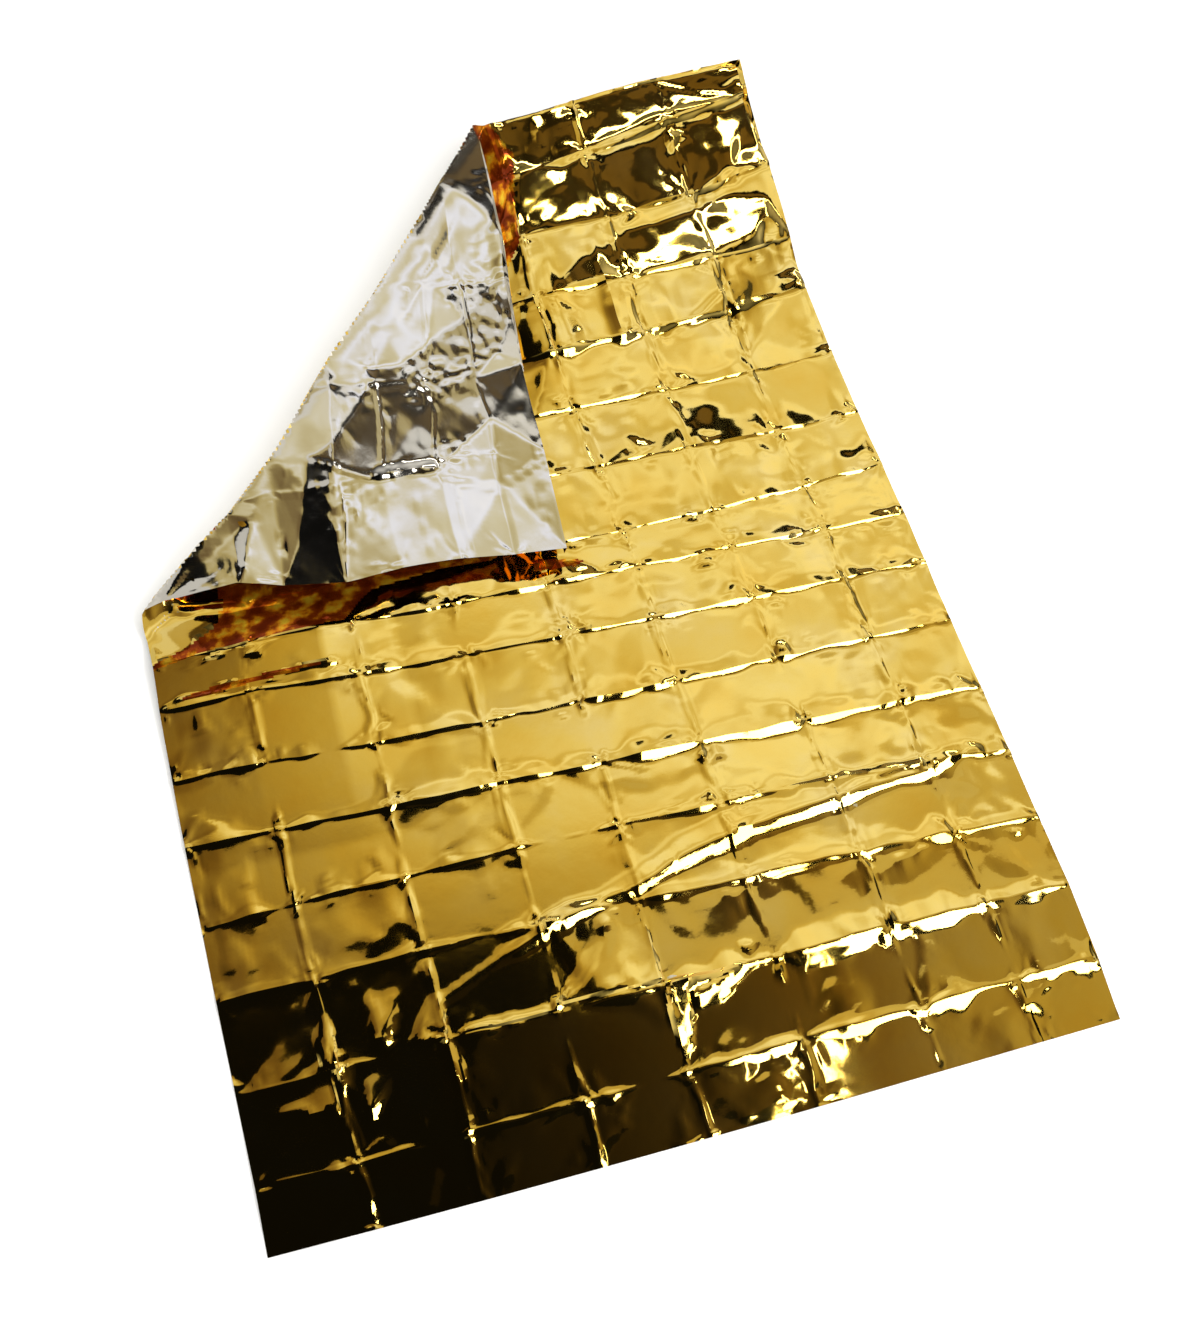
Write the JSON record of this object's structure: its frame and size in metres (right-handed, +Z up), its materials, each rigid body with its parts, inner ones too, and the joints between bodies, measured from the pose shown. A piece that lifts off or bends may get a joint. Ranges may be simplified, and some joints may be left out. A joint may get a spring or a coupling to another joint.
{
  "type": "emergency foil blanket",
  "caption": "Thin metallised film blanket, gold on one face and silver on the other, opened out on a surface with its storage creases and one corner turned over.",
  "frame": {"origin": "centre of the bounding box's bottom face, on the surface that the blanket lies on", "axes": "+Y along the length, towards the end with the turned-over corner; +X across the width, away from that corner; +Z up"},
  "size_m": [1.6151, 2.18, 0.0798],
  "materials": {
    "foil_film": "metallised polyester film, mirror gloss, gold face up and silver face down"
  },
  "bodies": {
    "root": {"foil_sheet": "foil_film"}
  },
  "joints": []
}
